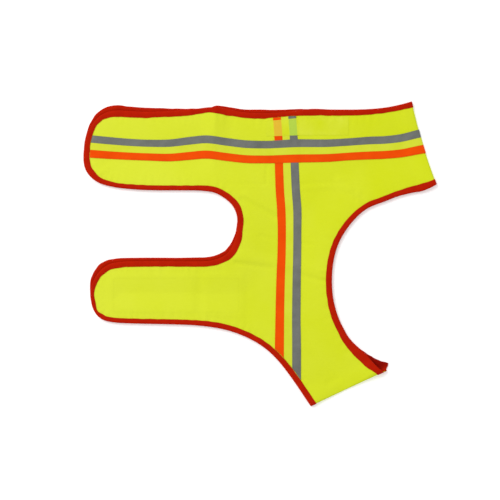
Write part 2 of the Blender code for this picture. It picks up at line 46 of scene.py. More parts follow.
# Middle of the folded vest's box, in the plan that the tables below are given in
PLAN_MIDDLE = Vector((0.6, -0.8, 0.0))
CLOTH = 0.6

# The mesh has rows in from the cut edge, a row for each angle of the roll at a seam, and even points
# between, which stay clear of both by a share of their own spacing
CLOTH_ROWS = (1.8, 4.5, 7.2)
NEAR_STEP = 2.5
ROW_SHARE = 0.87
EDGE_CLEAR_SHARE = 0.6
SEAM_CLEAR_SHARE = 0.9
ROLL_ANGLES = (4.0, 20.0, 38.0, 56.0, 74.0, 90.0)
ROLL_SAMPLES = 160
POINTS_PER_MM = 4

# Heights of the middle of the cloth, flat and where its edge is bound, and how far in they change
FAR_FLAT = 0.5
FAR_BOUND = 1.8
NEAR_FLAT = 2.1
NEAR_BOUND = 5.35
SEAM_RISE = 1.5
BOUND_LEVEL = 8.5
FAR_SLOPE_END = 18.0
NEAR_SLOPE_END = 62.0
SEAM_LEVEL = 7.0
SEAM_SLOPE_END = 30.0
SEAM_BOW_END = 60.0

# From a seam, the way into the cloth turns from along the seam to square with the cut edge
TURN_START, TURN_END = 6.0, 30.0
# How far the far half's binding goes on under the near half's edge
PEEK_COVER = 1.5

# The cut edge from the back seam round both arms to the chest seam. Heading is the way it runs, in
# degrees, peek is how far the far half lies beyond the near half, and reach how far the binding goes in.
HEM = (
    # x, y, heading, peek, reach
    (212.5, 212.4, 198, 0.0, 8.6),
    (200.0, 208.7, 193, 0.0, 7.7),
    (176.5, 204.0, 188, 0.0, 7.4),
    (126.0, 201.0, 180, 0.2, 8.4),
    (100.0, 201.1, 179, 0.2, 8.8),
    (70.0, 201.8, 184, 0.2, 9.5),
    (52.0, 199.8, 185, 2.3, 7.7),
    (42.0, 198.5, 186, 3.2, 6.5),
    (22.0, 196.7, 183, 4.3, 6.5),
    (3.0, 196.0, 179, 5.4, 7.9),
    (-33.5, 199.2, 167, 4.0, 7.9),
    (-46.0, 201.7, 167, 3.5, 9.2),
    (-59.0, 204.0, 171, 3.1, 8.7),
    (-71.0, 204.0, 182, 0.0, 7.3),
    (-84.0, 202.7, 187, 0.0, 7.5),
    (-98.0, 201.3, 187, 1.4, 8.5),
    (-120.0, 199.4, 184, 3.3, 8.4),
    (-140.0, 198.5, 181, 5.0, 8.1),
    (-161.0, 198.0, 179, 6.0, 8.9),
    (-185.0, 199.3, 178, 6.4, 9.3),
    (-198.5, 200.0, 181, 7.6, 9.4),
    (-210.0, 198.6, 194, 7.6, 8.7),
    (-225.5, 191.0, 222, 6.0, 7.0),
    (-233.0, 183.0, 236, 4.0, 6.2),
    (-242.5, 164.0, 254, 1.5, 7.5),
    (-247.0, 135.0, 270, 0.0, 8.8),
    (-241.2, 112.1, 306, 0.0, 9.4),
    (-219.5, 96.5, 343, 0.0, 7.2),
    (-196.5, 91.7, 353, 0.0, 6.3),
    (-175.0, 89.6, 356, 0.0, 6.8),
    (-98.0, 88.3, 359.5, 0.0, 6.7),
    (-68.5, 86.3, 350, 0.0, 7.9),
    (-47.5, 76.0, 323, 0.0, 8.5),
    (-38.0, 66.6, 304, 0.0, 9.0),
    (-31.5, 48.5, 274, 0.0, 8.8),
    (-32.2, 33.0, 264, 0.8, 8.4),
    (-34.8, 18.5, 249, 2.9, 9.0),
    (-44.5, 1.0, 228, 4.7, 9.4),
    (-52.5, -5.0, 208, 5.4, 8.2),
    (-84.0, -11.5, 180, 5.3, 7.7),
    (-120.0, -11.4, 179.5, 4.7, 7.6),
    (-184.5, -11.5, 181, 4.7, 8.0),
    (-204.0, -13.5, 192, 5.3, 8.5),
    (-213.5, -16.7, 211, 6.5, 7.5),
    (-220.0, -21.3, 222, 7.5, 7.7),
    (-227.3, -28.8, 231, 6.1, 6.2),
    (-230.3, -33.4, 240, 5.2, 6.3),
    (-237.1, -57.0, 270, 0.8, 5.2),
    (-235.1, -73.0, 285, 0.2, 5.9),
    (-231.2, -82.4, 301, 0.2, 4.0),
    (-225.3, -89.5, 320, 0.1, 6.5),
    (-216.0, -94.6, 345, 0.0, 6.6),
    (-182.0, -98.1, 358, 0.0, 6.9),
    (-98.0, -100.4, 357.3, 0.0, 7.2),
    (-63.0, -104.1, 351, 0.0, 7.8),
    (-21.0, -116.5, 336, 0.0, 7.6),
    (14.0, -138.5, 318, 0.0, 7.8),
    (42.0, -171.0, 306, 0.0, 8.6),
    (71.3, -214.0, 304, 0.0, 8.9),
)
# Half of the neck hole, from the chest seam to the back seam
NECK = (
    # x, y, heading, peek, reach
    (172.5, -166.5, 130, 5.3, 8.7),
    (166.0, -161.0, 139, 15.5, 9.2),
    (160.5, -155.5, 136, 8.6, 11.0),
    (155.5, -150.0, 134, 5.0, 12.0),
    (148.5, -142.0, 135, 1.6, 12.8),
    (139.8, -134.7, 138, 0.6, 12.0),
    (125.2, -120.1, 129, 0.6, 9.8),
    (116.8, -106.0, 118, 0.6, 8.8),
    (110.6, -93.2, 112, 0.6, 8.8),
    (100.8, -41.5, 91, 0.0, 8.6),
    (106.8, 4.4, 73, 0.0, 8.3),
    (125.2, 38.8, 52, 0.0, 8.0),
    (146.7, 60.3, 36, 0.0, 7.4),
    (178.1, 73.9, 22, 0.0, 7.4),
    (198.1, 81.2, 15, 0.0, 7.6),
    (213.1, 84.8, 12, 0.0, 9.0),
    (228.1, 87.5, 17, 0.0, 10.3),
    (247.3, 96.4, 30, 0.0, 8.2),
)
# Folds and creases of the near half, as ridges, or troughs where the height is negative
NEAR_CREASES = (
    # x0, y0, x1, y1, half width, height at start, height at end
    (-61.5, 214.5, -66.0, 100.0, 24.0, 3.9, 0.5),
    (-62.0, 206.0, -66.5, 120.0, 7.0, 0.8, 0.2),
    (-33.5, -3.0, 92.5, -27.0, 14.0, 1.2, 0.8),
    (-34.0, -13.6, 17.0, -20.3, 6.0, -1.0, -0.7),
    (56.0, -30.0, 92.0, -39.5, 5.0, -0.4, -0.9),
    (-20.0, 82.0, 26.0, 58.0, 10.0, 0.8, 0.4),
    (-24.0, 75.5, 21.0, 51.0, 8.0, -1.2, -1.2),
    (0.0, 24.5, 21.0, 19.0, 3.8, -0.7, -0.4),
    (60.0, 14.4, 73.0, 11.6, 3.8, -0.5, -0.5),
    (112.0, 102.5, 136.0, 84.5, 9.0, 1.2, 0.8),
    (60.0, 90.5, 98.0, 94.0, 6.0, 0.4, 0.3),
    (92.0, 95.0, 124.0, 89.0, 7.0, 0.3, 0.5),
    (60.0, 98.3, 119.0, 98.6, 3.2, -0.4, -0.3),
    (133.5, 88.0, 134.0, 74.0, 3.5, -0.4, -0.5),
    (127.5, 185.0, 127.0, 160.0, 3.2, -0.4, -0.2),
    (9.2, 121.5, 9.4, 98.0, 3.2, -0.6, -0.5),
    (-49.0, 97.3, 8.5, 97.2, 3.2, -0.2, -0.4),
    (-84.0, -30.0, -85.0, -80.0, 12.0, -0.7, -0.8),
    (-176.0, -18.0, -172.0, -30.0, 4.0, 0.8, 0.1),
    (-161.0, -18.0, -159.0, -29.0, 4.0, 0.7, 0.1),
    (-143.0, -18.0, -138.0, -34.0, 4.5, 0.9, 0.1),
    (-126.0, -18.0, -123.0, -30.0, 4.0, 0.6, 0.1),
    (-105.0, -18.0, -98.0, -33.0, 4.5, 0.8, 0.1),
    (-226.0, 182.0, -208.0, 168.0, 5.0, 0.7, 0.1),
    (-232.0, 166.0, -212.0, 158.0, 5.0, -0.5, -0.1),
    (-225.0, 112.0, -206.0, 124.0, 6.0, 0.6, 0.1),
    (177.0, -168.0, 148.5, -144.0, 40.0, 6.0, 2.0),
    (96.0, -182.0, 108.0, -176.0, 8.0, -0.7, -0.5),
    (112.0, -162.0, 138.0, -180.0, 12.0, 0.3, 0.3),
)
# Puckers that the stitching of the binding draws along the cut edges
PUCKER_HEIGHT = 0.28
PUCKER_LENGTH = 11.0
PUCKER_AT_EDGE = 0.5
PUCKER_FULL = 7.0
PUCKER_END = 24.0


def ramp(start, end, value):
    """0 before start, 1 after end, and a smooth rise between."""
    t = np.clip((np.asarray(value, float) - start) / (end - start), 0, 1)
    return t * t * (3 - 2 * t)


def ripple(s, length, start):
    """Uneven wave along a sewn edge, from -1 to 1, about this long."""
    drift = 1.9 * np.sin(s / (1.16 * length) + start)
    size = 0.6 + 0.4 * np.sin(s / (0.73 * length) + 2 * start)
    return size * np.sin(math.tau * s / length + drift)


class Seam:
    """A straight line on which the two halves are sewn together. The cloth lies to its left."""

    def __init__(self, start, end, bow):
        self.start = np.array(start, float)
        self.along = np.array(end, float) - self.start
        self.length = np.linalg.norm(self.along)
        self.along /= self.length
        self.inward = np.array((-self.along[1], self.along[0]))
        self.bow = bow

    def place(self, xy):
        """Distance along the seam and distance in from it."""
        offset = np.asarray(xy) - self.start
        return offset @ self.along, offset @ self.inward

    def point(self, along, inward):
        return self.start + self.along * along + self.inward * inward


class Edge:
    """A cut edge as a dense line of points, with the way into the cloth at each."""

    def __init__(self, rows, start_inward, end_inward):
        points, peeks, reaches = [], [], []
        for a, b in zip(rows, rows[1:]):
            p, q = np.array(a[:2]), np.array(b[:2])
            leave, arrive = (np.array((math.cos(h), math.sin(h))) for h in np.radians((a[2], b[2])))
            turn = math.radians((b[2] - a[2] + 180) % 360 - 180)
            chord = np.linalg.norm(q - p)
            pull = chord / math.cos(turn / 4) ** 2
            t = np.linspace(0, 1, POINTS_PER_MM * round(chord), endpoint=False)[:, None]
            points.append(
                (2 * t**3 - 3 * t**2 + 1) * p
                + (3 * t**2 - 2 * t**3) * q
                + (t**3 - 2 * t**2 + t) * pull * leave
                + (t**3 - t**2) * pull * arrive
            )
            peeks.append(a[3] + (b[3] - a[3]) * ramp(0, 1, t[:, 0]))
            reaches.append(a[4] + (b[4] - a[4]) * ramp(0, 1, t[:, 0]))
        self.points = np.vstack(points + [np.array([rows[-1][:2]])])
        self.peek = np.append(np.concatenate(peeks), rows[-1][3])
        self.reach = np.append(np.concatenate(reaches), rows[-1][4])
        self.s = np.append(0, np.cumsum(np.linalg.norm(np.diff(self.points, axis=0), axis=1)))
        self.length = self.s[-1]
        tangent = np.gradient(self.points, self.s, axis=0)
        inward = np.column_stack((-tangent[:, 1], tangent[:, 0]))
        for way, from_end in ((start_inward, self.s), (end_inward, self.length - self.s)):
            share = 1 - ramp(TURN_START, TURN_END, from_end)[:, None]
            inward = inward * (1 - share) + way * share
        self.inward = inward / np.linalg.norm(inward, axis=1)[:, None]

    def at(self, s, inset, half):
        """Plan points at distances s along the near edge, this far inside the edge of a half."""
        peek = np.interp(s, self.s, self.peek) if half == "far" else 0
        tone_and_side_light = (np.broadcast_to(inset, np.shape(s)) - peek)[:, None]
        way = np.column_stack([np.interp(s, self.s, self.inward[:, k]) for k in (0, 1)])
        return np.column_stack([np.interp(s, self.s, self.points[:, k]) for k in (0, 1)]) + way * tone_and_side_light

    def binding_reach(self, s, half):
        """How far in from the edge of a half its binding goes. It closes the view between the halves."""
        reach = np.interp(s, self.s, self.reach)
        if half == "near":
            return reach
        return np.maximum(reach, np.interp(s, self.s, self.peek) + PEEK_COVER)

    def crossings(self, half, clear, miss):
        """Plan points where the line this clear of the binding meets another, given as miss(points)."""
        points = self.at(self.s, self.binding_reach(self.s, half) + clear, half)
        value = miss(points)
        found = np.nonzero(np.sign(value[:-1]) != np.sign(value[1:]))[0]
        share = (value[found] / (value[found] - value[found + 1]))[:, None]
        return points[found] * (1 - share) + points[found + 1] * share


BACK_SEAM = Seam(NECK[-1][:2], HEM[0][:2], 2.0)
CHEST_SEAM = Seam(HEM[-1][:2], NECK[0][:2], 0.0)
SEAMS = (BACK_SEAM, CHEST_SEAM)
HEM_EDGE = Edge(HEM, -BACK_SEAM.along, CHEST_SEAM.along)
NECK_EDGE = Edge(NECK, -CHEST_SEAM.along, BACK_SEAM.along)
EDGES = (HEM_EDGE, NECK_EDGE)
# Outline of each half, a tree that finds its nearest point, and the ripple of the edge there, which
# starts differently on the two halves
OUTLINES, EDGE_TREES = {}, {}
for half, first in (("near", 0.0), ("far", 2.0)):
    OUTLINES[half] = np.vstack([edge.at(edge.s, 0.0, half) for edge in EDGES])
    tree = KDTree(len(OUTLINES[half]))
    for i, (x, y) in enumerate(OUTLINES[half]):
        tree.insert((x, y, 0), i)
    tree.balance()
    EDGE_TREES[half] = tree, np.concatenate([ripple(edge.s, PUCKER_LENGTH, first) for edge in EDGES])


def nearest_edge(half, xy):
    """Distance from plan points to a half's cut edge, and the edge's ripple there."""
    tree, waves = EDGE_TREES[half]
    found = [tree.find((x, y, 0)) for x, y in xy]
    return np.array([f[2] for f in found]), waves[[f[1] for f in found]]


def creases(rows, xy):
    """Height of ridges and troughs, each along a straight line."""
    total = np.zeros(len(xy))
    for x0, y0, x1, y1, half_width, start_height, end_height in rows:
        start, run = np.array((x0, y0)), np.array((x1 - x0, y1 - y0))
        t = np.clip((xy - start) @ run / (run @ run), 0, 1)
        away = np.linalg.norm(xy - start - t[:, None] * run, axis=1) / half_width
        height = start_height + (end_height - start_height) * t
        total += height * np.cos(np.clip(away, 0, 1) * math.pi / 2) ** 2
    return total


# Hook tape on the inner face of the lower arm lifts the cloth over it
HOOK_LEFT, HOOK_RIGHT = -207.0, -28.0
HOOK_BOTTOM, HOOK_TOP = -84.5, -33.0
HOOK_RISE = 0.8
HOOK_SLOPE = 12.0
HOOK_EDGE_CLEAR = 22.0

# Shallow creases of the far half, which only rise from the surface that it lies on
FAR_CREASES = (
    # x0, y0, x1, y1, half width, height at start, height at end
    (-150.0, 175.0, -128.0, 118.0, 12.0, 0.5, 0.2),
    (-22.0, 120.0, 14.0, 60.0, 15.0, 0.5, 0.3),
    (60.0, 60.0, 96.0, 10.0, 14.0, 0.4, 0.5),
    (-40.0, -40.0, 60.0, -64.0, 13.0, 0.5, 0.2),
    (-180.0, -50.0, -120.0, -62.0, 10.0, 0.3, 0.5),
    (150.0, 160.0, 190.0, 120.0, 14.0, 0.4, 0.3),
)


def level(half, xy):
    """Height of the middle of the cloth, without the roll at the seams, near which it stays even."""
    xy = np.array(xy, float)
    for seam in SEAMS:
        xy += seam.inward * np.clip(SEAM_LEVEL - seam.place(xy)[1], 0, None)[:, None]
    edge, wave = nearest_edge(half, xy)
    rise = PUCKER_AT_EDGE + (1 - PUCKER_AT_EDGE) * ramp(0, PUCKER_FULL, edge)
    puckers = PUCKER_HEIGHT * wave * (1 - ramp(BOUND_LEVEL, PUCKER_END, edge)) * rise
    if half == "far":
        height = FAR_FLAT + (FAR_BOUND - FAR_FLAT) * (1 - ramp(BOUND_LEVEL, FAR_SLOPE_END, edge))
        inner = ramp(FAR_SLOPE_END, NEAR_SLOPE_END, edge)
        return np.maximum(height + puckers + inner * creases(FAR_CREASES, xy), FAR_FLAT)
    height = NEAR_FLAT + (NEAR_BOUND - NEAR_FLAT) * (1 - ramp(BOUND_LEVEL, NEAR_SLOPE_END, edge))
    for seam in SEAMS:
        height += SEAM_RISE * (1 - ramp(SEAM_LEVEL, SEAM_SLOPE_END, seam.place(xy)[1]))
    over_hook = ramp(HOOK_LEFT - HOOK_SLOPE, HOOK_LEFT, xy[:, 0])
    over_hook *= 1 - ramp(HOOK_RIGHT, HOOK_RIGHT + HOOK_SLOPE, xy[:, 0])
    over_hook *= ramp(HOOK_BOTTOM - HOOK_SLOPE, HOOK_BOTTOM, xy[:, 1])
    over_hook *= 1 - ramp(HOOK_TOP, HOOK_TOP + HOOK_SLOPE, xy[:, 1])
    over_hook *= ramp(BOUND_LEVEL, HOOK_EDGE_CLEAR, edge)
    return height + HOOK_RISE * over_hook + puckers + creases(NEAR_CREASES, xy)


def roll_radius(seam, along):
    """Radius of the rolled edge at distances along a seam."""
    inside = np.array([seam.point(a, SEAM_LEVEL) for a in along])
    return (level("near", inside) - level("far", inside)) / 2


def lay(half, xy, offset=0.0):
    """Points in space over plan points, moved out from the middle of the cloth by an offset."""
    xy = np.array(xy, float)
    height = level(half, xy)
    slope = [(level(half, xy + way) - level(half, xy - way)) / 2 for way in np.eye(2)]
    normal = np.column_stack((-slope[0], -slope[1], np.ones(len(xy))))
    normal /= np.linalg.norm(normal, axis=1)[:, None]
    side = 1 if half == "near" else -1
    for seam in SEAMS:
        along, inward = seam.place(xy)
        close = np.nonzero(inward < SEAM_LEVEL)[0]
        if not len(close):
            continue
        radius = roll_radius(seam, along[close])
        cosine = np.clip((radius - inward[close]) / radius, 0, 1)
        sine = np.sqrt(1 - cosine**2)
        rolled = cosine > 0
        height[close] += side * radius * (sine - 1)
        turned = np.column_stack((np.outer(-side * cosine, seam.inward), sine))
        normal[close[rolled]] = turned[rolled]
    points = np.column_stack((xy, height)) + normal * np.reshape(offset, (-1, 1))
    for seam in SEAMS:
        along, inward = seam.place(xy)
        share = np.clip(along / seam.length, 0, 1)
        shift = seam.bow * 4 * share * (1 - share) * (1 - ramp(0, SEAM_BOW_END, inward))
        points[:, :2] += seam.inward * shift[:, None]
    return points


def seam_rows(seam, step):
    """Plan points of the rolled edge along a seam, one row for each angle of the roll."""
    clear = 2 * CLOTH_ROWS[-1]
    along = np.linspace(clear, seam.length - clear, round(seam.length / step))
    radius = roll_radius(seam, along)
    return [
        np.array([seam.point(a, r * (1 - math.cos(math.radians(angle)))) for a, r in zip(along, radius)])
        for angle in ROLL_ANGLES
    ]


def edge_stations(edge, seams, step):
    """Distances along an edge: even steps, and the angles of the rolls at both ends."""
    ends = []
    for seam, from_end in ((seams[0], edge.s), (seams[1], edge.length - edge.s)):
        along, inward = seam.place(edge.points)
        order = np.argsort(from_end)[:ROLL_SAMPLES]
        radius = roll_radius(seam, along[order[:1]])[0]
        depths = radius * (1 - np.cos(np.radians(ROLL_ANGLES)))
        ends.append(np.interp(depths, inward[order], edge.s[order]))
    start, end = ends
    between = np.linspace(start[-1], end[-1], round((end[-1] - start[-1]) / step))
    return np.concatenate((start[:-1], between, end[-2::-1]))


def shell(name, points, faces, places, thickness, finish):
    """Thin piece round an open surface in millimetres. Places are where its points lie on the flat cloth."""
    mesh = bpy.data.meshes.new(name)
    mesh.from_pydata([(Vector(p) - PLAN_MIDDLE) * MM for p in points], [], faces)
    flat = mesh.uv_layers.new(name="flat_cloth")
    corners = np.empty(len(mesh.loops), np.int32)
    mesh.loops.foreach_get("vertex_index", corners)
    flat.data.foreach_set("uv", np.asarray(places, np.float32)[corners].ravel())
    mesh.shade_smooth()
    made = bpy.data.objects.new(name, mesh)
    bpy.context.scene.collection.objects.link(made)
    wall = made.modifiers.new("wall", "SOLIDIFY")
    wall.thickness = thickness * MM
    wall.offset = 0.0
    wall.use_even_offset = True
    wall.use_quality_normals = True
    mesh.materials.append(finish)
    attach(made, "root")
    return made


def inside(outline, points):
    """Whether plan points are inside a closed outline."""
    a, b = outline, np.roll(outline, -1, axis=0)
    found = []
    for x, y in points:
        spans = (a[:, 1] > y) != (b[:, 1] > y)
        p, q = a[spans], b[spans]
        found.append(((q[:, 0] - p[:, 0]) * (y - p[:, 1]) / (q[:, 1] - p[:, 1]) + p[:, 0] > x).sum() % 2)
    return np.array(found, bool)


def cut_half(half, name, step, finish):
    """One half of the vest: rows along its cut edges and its rolled seams, and even points between."""
    points, lines = [], []

    def add(row):
        first = len(points)
        points.extend(tuple(p) for p in row)
        return list(range(first, len(points)))

    stations = [edge_stations(HEM_EDGE, SEAMS, step), edge_stations(NECK_EDGE, SEAMS[::-1], step)]
    rows = [[add(e.at(s, inset, half)) for e, s in zip(EDGES, stations)] for inset in CLOTH_ROWS]
    chest = [add(row) for row in seam_rows(CHEST_SEAM, step)]
    back = [add(row) for row in seam_rows(BACK_SEAM, step)]
    loop = []
    for k, rolls in ((0, chest), (1, back)):
        loop += rows[0][k] + [row[k][-1] for row in rows[1:]]
        loop += rolls[0] + [row[1 - k][0] for row in rows[:0:-1]]
    for k in range(1, len(ROLL_ANGLES)):
        lines.append([rows[-1][0][-1 - k]] + chest[k] + [rows[-1][1][k]])
        lines.append([rows[-1][1][-1 - k]] + back[k] + [rows[-1][0][k]])
    for near_rows in zip(*rows):
        lines += list(near_rows[1:])
        for k in range(1, len(ROLL_ANGLES)):
            lines += [[row[k] for row in near_rows], [row[-1 - k] for row in near_rows]]
    low, high = OUTLINES[half].min(axis=0), OUTLINES[half].max(axis=0)
    across, up = np.meshgrid(np.arange(low[0], high[0], step), np.arange(low[1], high[1], step * ROW_SHARE))
    across[::2] += step / 2
    filling = np.column_stack((across.ravel(), up.ravel()))
    keep = nearest_edge(half, filling)[0] > CLOTH_ROWS[-1] + EDGE_CLEAR_SHARE * step
    for seam in SEAMS:
        keep &= seam.place(filling)[1] > SEAM_RISE + SEAM_CLEAR_SHARE * step
    filling = filling[keep]
    add(filling[inside(OUTLINES[half], filling)])
    edges = [pair for line in lines for pair in zip(line, line[1:])]
    only_inside, tolerance = 1, 1e-4
    plan, _, faces = delaunay_2d_cdt([Vector(p) for p in points], edges, [loop], only_inside, tolerance)[:3]
    plan = np.array([tuple(p) for p in plan])
    return shell(name, lay(half, plan), faces, plan, CLOTH, finish)


class Shade:
    """A socket of a piece's finish. Sums and products of such values add Math nodes to it."""

    def __init__(self, tree, socket):
        self.tree = tree
        self.socket = socket

    def node(self, kind, settings, inputs, output=0):
        """Another node of this finish. Its settings are made first, then its sockets' values or links."""
        made = self.tree.nodes.new(kind)
        for name, value in settings.items():
            setattr(made, name, value)
        for name, value in inputs.items():
            if isinstance(value, Shade):
                self.tree.links.new(value.socket, made.inputs[name])
            else:
                made.inputs[name].default_value = value
        return Shade(self.tree, made.outputs[output])

    def math(self, operation, *values):
        return self.node("ShaderNodeMath", {"operation": operation}, dict(enumerate(values)))

    def __add__(self, other):
        return self.math("ADD", self, other)

    def __sub__(self, other):
        return self.math("SUBTRACT", self, other)

    def __rsub__(self, other):
        return self.math("SUBTRACT", other, self)

    def __mul__(self, other):
        return self.math("MULTIPLY", self, other)

    __radd__, __rmul__ = __add__, __mul__

    def stretched(self, x, y):
        """This place with its two directions scaled."""
        return self.node("ShaderNodeVectorMath", {"operation": "MULTIPLY"}, {0: self, 1: (x, y, 1.0)})

    def wave(self, length):
        """Sine of this value, one wave to each length."""
        return self.math("SINE", self * (math.tau / length))

    def between(self, low, high):
        """0 below low, 1 above high, and even between."""
        return self.node("ShaderNodeMapRange", {}, {"Value": self, "From Min": low, "From Max": high})

    def bump(self, strength, distance=0.0002):
        """Normal of a surface with this relief."""
        inputs = {"Strength": strength, "Distance": distance, "Height": self}
        return self.node("ShaderNodeBump", {}, inputs)

    def mixed(self, low, high):
        """Colour that goes from low, where this value is 0, to high, where it is 1."""
        low, high = (c if isinstance(c, Shade) else (*c, 1.0) for c in (low, high))
        return self.node("ShaderNodeMix", {"data_type": "RGBA"}, {0: self, 6: low, 7: high}, output=2)


def new_finish(name, constants):
    """New material, its shader, and the place on the flat cloth, in mm: as a vector, along and across."""
    made = bpy.data.materials.new(name)
    made.use_nodes = True
    tree = made.node_tree
    shader = tree.nodes["Principled BSDF"]
    for socket, value in constants.items():
        shader.inputs[socket].default_value = value
    place = Shade(tree, tree.nodes.new("ShaderNodeUVMap").outputs["UV"])
    along = place.node("ShaderNodeSeparateXYZ", {}, {0: place}, output=0)
    across = place.node("ShaderNodeSeparateXYZ", {}, {0: place}, output=1)
    return made, shader, place, along, across


def feed(shader, sockets):
    for name, shade in sockets.items():
        shade.tree.links.new(shade.socket, shader.inputs[name])


def mottle(place, size, detail=2.0):
    """Soft cloudy value from 0 to 1 with patches of about this size in mm."""
    inputs = {"Vector": place, "Scale": 1 / size, "Detail": detail}
    return place.node("ShaderNodeTexNoise", {"noise_dimensions": "3D"}, inputs)


# Polyester cloth: plain weave with a low sheen, a little deeper in colour in some places, and paler towards
# the arms on the left. That paler side is partly the cloth's own tone and partly painted light, from the
# side the lamp stands on.
WEAVE = 0.55
YELLOW_DEEP = (0.590, 0.668, 0.008)
YELLOW_PALE = (0.650, 0.718, 0.040)
PALE_FROM, PALE_TO = 200.0, -260.0
cloth_yellow, shader, place, along, across = new_finish(
    "cloth_yellow", {"Sheen Weight": 0.03, "Sheen Roughness": 0.4, "Specular IOR Level": 0.05}
)
weave = along.wave(WEAVE) * across.wave(WEAVE)
clouds = mottle(place, 60.0)
slubs = mottle(place.stretched(0.12, 1.0), 1.4)
# Random tone of the cloth, plus a paler side towards the arms that is partly painted light
tone_and_side_light = clouds * 0.5 + slubs * 0.2 + weave * 0.06 + along.between(PALE_FROM, PALE_TO) * 0.5 - 0.05
relief = weave * 0.5 + slubs * 0.6 + mottle(place, 9.0) * 1.5
feed(shader, {
    "Base Color": tone_and_side_light.between(0.2, 0.9).mixed(YELLOW_DEEP, YELLOW_PALE),
    "Roughness": slubs * 0.12 + 0.62,
    "Normal": relief.bump(0.35),
})

near_cloth = cut_half("near", "near_half_cloth", NEAR_STEP, cloth_yellow)
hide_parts("near_half")

# Far half of the vest.
# The same cut of the same cloth, with its outer face down. It lies flat on the surface and rises a
# little to its bound edge.
FAR_STEP = 4.0
far_cloth = cut_half("far", "far_half_cloth", FAR_STEP, cloth_yellow)
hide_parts("far_half")

# Binding.
# Red woven tape is folded over each cut edge and sewn through both of its flaps and the cloth between.
# It is crowned over the turned edge, lies down at its stitching, and ripples a little on the curves.
TAPE = 0.5
BINDING_STEP = 3.0
TAPE_REACH = 7.2
# Its inner line drifts and its crown swells along the edge. Near a seam it is steady and pressed flatter.
PRESSED = 0.5
PRESS_LENGTH = 5.0
STEADY_START, STEADY_END = 8.0, 30.0
TAPE_DRIFT, DRIFT_LENGTH = 0.22, 17.0
TAPE_SWELL, SWELL_LENGTH = 0.13, 8.5
TAPE_SECTION = (
    # share of the tape's reach in from the edge, out from the middle of the cloth
    (0.965, 0.62),
    (0.92, 0.66),
    (0.82, 0.63),
    (0.70, 0.84),
    (0.52, 1.10),
    (0.35, 1.20),
    (0.20, 1.10),
    (0.07, 0.82),
    (0.015, 0.42),
    (0.0, 0.0),
)
# Near a seam the far half's inward flap, which lies below 0 across, is painted a deeper red. This is painted
# shade, for the shade in the fold under the near half's edge, where the neck stands open.
INNER_FLAP = (-8.2, -7.0)
FAR_PLACES_END = (-0.1, 0.0)
SHADE_START, SHADE_FULL, SHADE_FADE, SHADE_END = 1.0, 10.0, 24.0, 44.0
RED_DARK = (0.375, 0.0075, 0.0002)
RED_BRIGHT = (0.475, 0.013, 0.0004)
# Red of the painted shade on the far half's inward flap
RED_PAINTED_SHADE = (0.24, 0.003, 0.0001)
tape_red, shader, place, along, across = new_finish("tape_red", {"Specular IOR Level": 0.03})
ribs = (along + across * 0.15).wave(0.62)
threads = mottle(place.stretched(1.0, 0.2), 0.9)
shading = mottle(place, 14.0) * 0.7 + ribs * 0.07 + threads * 0.3
# Where the painted shade lies: the far half's inward flap, a short way from each seam
flap_shade = across.between(*INNER_FLAP) * (1 - across.between(*FAR_PLACES_END))
flap_shade = flap_shade * along.between(SHADE_START, SHADE_FULL) * (1 - along.between(SHADE_FADE, SHADE_END))
red = shading.between(0.2, 0.85).mixed(RED_DARK, RED_BRIGHT)
feed(shader, {
    "Base Color": flap_shade.mixed(red, RED_PAINTED_SHADE),
    "Roughness": threads * 0.15 + 0.55,
    "Normal": (ribs * 0.5 + threads).bump(0.4),
})


def bind(name, edge, seams, half):
    """Tape round one cut edge, as an open section carried along it."""
    stations = edge_stations(edge, seams, BINDING_STEP)
    end = np.minimum(stations, edge.length - stations)
    steady = ramp(STEADY_START, STEADY_END, end)
    reach = edge.binding_reach(stations, half)
    crown = PRESSED + (1 - PRESSED) * ramp(0, PRESS_LENGTH, end)
    section = list(TAPE_SECTION) + [(share, -out) for share, out in TAPE_SECTION[-2::-1]]
    rings, places, across = [], [], 0.0
    for k, (share, out) in enumerate(section):
        if k:
            across += math.hypot((section[k - 1][0] - share) * TAPE_REACH, section[k - 1][1] - out)
        drift = TAPE_DRIFT * ramp(0.15, 0.95, share) * steady
        drift = drift * ripple(stations, DRIFT_LENGTH, 1.0 + (out > 0))
        swell = TAPE_SWELL * (1 - ramp(0.6, 0.9, share)) * steady
        swell = swell * ripple(stations, SWELL_LENGTH, 3.0 + (out > 0))
        height = math.copysign(1, out) * np.maximum(abs(out) * crown, min(abs(out), TAPE_SECTION[0][1]))
        rings.append(lay(half, edge.at(stations, share * reach + drift, half), height * (1 + swell)))
        flat = across if half == "near" else -across
        places.append(np.column_stack((stations, np.full(len(stations), flat))))
    count = len(section)
    faces = [
        (i * count + j, i * count + j + 1, (i + 1) * count + j + 1, (i + 1) * count + j)
        for i in range(len(stations) - 1)
        for j in range(count - 1)
    ]
    points = np.stack(rings, axis=1).reshape(-1, 3)
    made = shell(f"{name}_tape", points, faces, np.stack(places, axis=1).reshape(-1, 2), TAPE, tape_red)
    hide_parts(name)
    return made


near_pieces, far_pieces = [], []
for half, pieces in (("near", near_pieces), ("far", far_pieces)):
    pieces.append(bind(f"hem_binding_{half}", HEM_EDGE, SEAMS, half))
    pieces.append(bind(f"neck_binding_{half}", NECK_EDGE, SEAMS[::-1], half))

# Ribbon.
# One woven ribbon with three stripes: silver cloth faced with glass beads, safety yellow and orange. A
# length runs along the girth to the back seam, over a length that runs from the back hem to the tail.
# Breadth is how wide the ribbon looks from above where the cloth leans or is pulled.
RIBBON_THICK = 0.4
RIBBON_LIFT = 0.75
CROSSING_LIFT = 0.45
CROSSING_SLOPE = 3.0
RIBBON_STEP = 2.5
RIBBON_END = 0.2
SELVEDGE_LINES = (0.04, 0.4, 1.3, 2.6)
